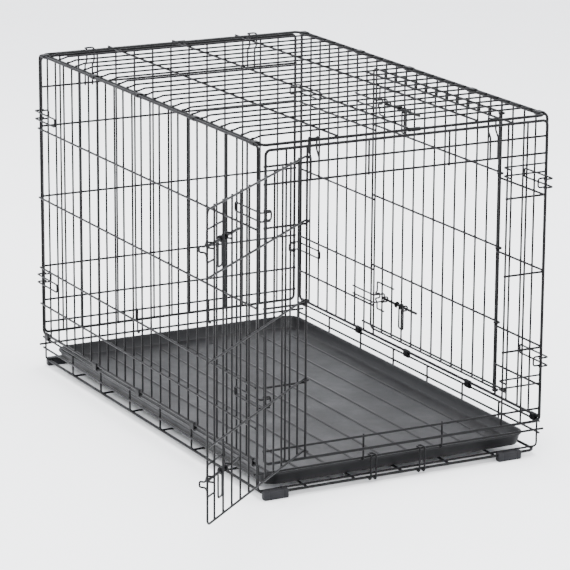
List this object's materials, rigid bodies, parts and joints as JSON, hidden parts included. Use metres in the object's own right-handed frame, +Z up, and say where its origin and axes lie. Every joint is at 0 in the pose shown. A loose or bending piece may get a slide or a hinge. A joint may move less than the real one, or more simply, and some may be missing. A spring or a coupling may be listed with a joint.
{
  "type": "wire dog crate",
  "caption": "Folding welded-wire dog crate with a front and a side door on slide-bolt latches, a fold-in back end, and a removable tray",
  "frame": {"origin": "middle of the base of the whole drawn pose, with the front door standing open, on the floor", "axes": "+X to the right across the front, +Y from the front to the back, +Z up"},
  "size_m": [0.816, 1.1794, 0.618],
  "materials": {
    "black_coat": "satin black electro-coat over steel wire",
    "bolt_steel": "satin black coat, rubbed where the bolt slides",
    "handle_coat": "satin black coat",
    "clip_steel": "black coat, slightly duller than the wire",
    "pan_plastic": "moulded black plastic with a fine texture",
    "foot_plastic": "dark moulded sleeve"
  },
  "bodies": {
    "crate": {"back_pivot_wire": "black_coat", "bottom_hinge_clips": "clip_steel", "feet": "foot_plastic", "flange_rails": "black_coat", "floor_cross_wires": "black_coat", "floor_frame": "black_coat", "floor_long_wires": "black_coat", "front_bars": "black_coat", "front_catches": "black_coat", "front_corner_loops": "black_coat", "front_frame": "black_coat", "front_hinge_wire": "black_coat", "front_pivot_hooks": "black_coat", "front_pivot_wire": "black_coat", "front_rails": "black_coat", "front_top_hooks": "black_coat", "left_corner_hooks": "black_coat", "left_side_bars": "black_coat", "left_side_frame": "black_coat", "left_side_rails": "black_coat", "right_corner_hooks": "black_coat", "right_side_bars": "black_coat", "right_side_frame": "black_coat", "right_side_rails": "black_coat", "side_catches": "black_coat", "side_doorway_rails": "black_coat", "side_hinge_wire": "black_coat", "top_cross_wires": "black_coat", "top_frame": "black_coat", "top_frame_ferrules": "clip_steel", "top_hinge_clips": "clip_steel", "top_long_wires": "black_coat"},
    "pan": {"pan": "pan_plastic"},
    "pan_hook_left": {"pan_hook_left": "black_coat"},
    "pan_hook_right": {"pan_hook_right": "black_coat"},
    "back_panel": {"back_frame": "black_coat", "back_bars": "black_coat", "back_rails": "black_coat", "back_pivot_hooks": "black_coat", "back_top_hooks": "black_coat", "back_corner_loops": "black_coat"},
    "front_door": {"front_door_outline": "black_coat", "front_door_rails": "black_coat", "front_door_bars": "black_coat", "front_door_latch_guides": "black_coat", "front_door_bolt_loops": "black_coat"},
    "side_door": {"side_door_outline": "black_coat", "side_door_rails": "black_coat", "side_door_bars": "black_coat", "side_door_latch_guides": "black_coat", "side_door_bolt_loops": "black_coat"},
    "front_lower_bolt": {"front_lower_bolt": "bolt_steel"},
    "front_lower_handle": {"front_lower_handle": "handle_coat"},
    "front_upper_bolt": {"front_upper_bolt": "bolt_steel"},
    "front_upper_handle": {"front_upper_handle": "handle_coat"},
    "side_lower_bolt": {"side_lower_bolt": "bolt_steel"},
    "side_lower_handle": {"side_lower_handle": "handle_coat"},
    "side_upper_bolt": {"side_upper_bolt": "bolt_steel"},
    "side_upper_handle": {"side_upper_handle": "handle_coat"}
  },
  "joints": [
    {"name": "front_door_swing", "type": "hinge", "parent": "crate", "child": "front_door", "pos_m": [-0.08788, -0.32909, 0.33], "axis": [0, 0, -1], "range_deg": [-139.8, 14]},
    {"name": "side_door_swing", "type": "hinge", "parent": "crate", "child": "side_door", "pos_m": [0.38579, -0.16934, 0.33], "axis": [0, 0, -1], "range_deg": [0, 135]},
    {"name": "back_fold", "type": "hinge", "parent": "crate", "child": "back_panel", "pos_m": [0.10605, 0.57207, 0.046], "axis": [-1, 0, 0], "range_deg": [-85, 0]},
    {"name": "pan_slide", "type": "slide", "parent": "crate", "child": "pan", "axis": [0, 1, 0], "range_m": [0, 0.6]},
    {"name": "pan_hook_left_turn", "type": "hinge", "parent": "crate", "child": "pan_hook_left", "pos_m": [0.04605, -0.32333, 0.011], "axis": [1, 0, 0], "range_deg": [0, 90]},
    {"name": "pan_hook_right_turn", "type": "hinge", "parent": "crate", "child": "pan_hook_right", "pos_m": [0.14205, -0.32333, 0.011], "axis": [1, 0, 0], "range_deg": [0, 90]},
    {"name": "front_lower_bolt_slide", "type": "slide", "parent": "front_door", "child": "front_lower_bolt", "axis": [-0.7638, -0.6455, 0], "range_m": [0, 0.028]},
    {"name": "front_lower_handle_swing", "type": "hinge", "parent": "front_lower_bolt", "child": "front_lower_handle", "pos_m": [-0.3408, -0.52226, 0.1405], "axis": [0.7638, 0.6455, 0], "range_deg": [0, 150]},
    {"name": "front_upper_bolt_slide", "type": "slide", "parent": "front_door", "child": "front_upper_bolt", "axis": [-0.7638, -0.6455, 0], "range_m": [0, 0.028]},
    {"name": "front_upper_handle_swing", "type": "hinge", "parent": "front_upper_bolt", "child": "front_upper_handle", "pos_m": [-0.3408, -0.52226, 0.5195], "axis": [0.7638, 0.6455, 0], "range_deg": [0, 150]},
    {"name": "side_lower_bolt_slide", "type": "slide", "parent": "side_door", "child": "side_lower_bolt", "axis": [0, 1, 0], "range_m": [0, 0.028]},
    {"name": "side_lower_handle_swing", "type": "hinge", "parent": "side_lower_bolt", "child": "side_lower_handle", "pos_m": [0.40149, 0.20467, 0.1405], "axis": [0, -1, 0], "range_deg": [0, 150]},
    {"name": "side_upper_bolt_slide", "type": "slide", "parent": "side_door", "child": "side_upper_bolt", "axis": [0, 1, 0], "range_m": [0, 0.028]},
    {"name": "side_upper_handle_swing", "type": "hinge", "parent": "side_upper_bolt", "child": "side_upper_handle", "pos_m": [0.40149, 0.20467, 0.5195], "axis": [0, -1, 0], "range_deg": [0, 150]}
  ]
}
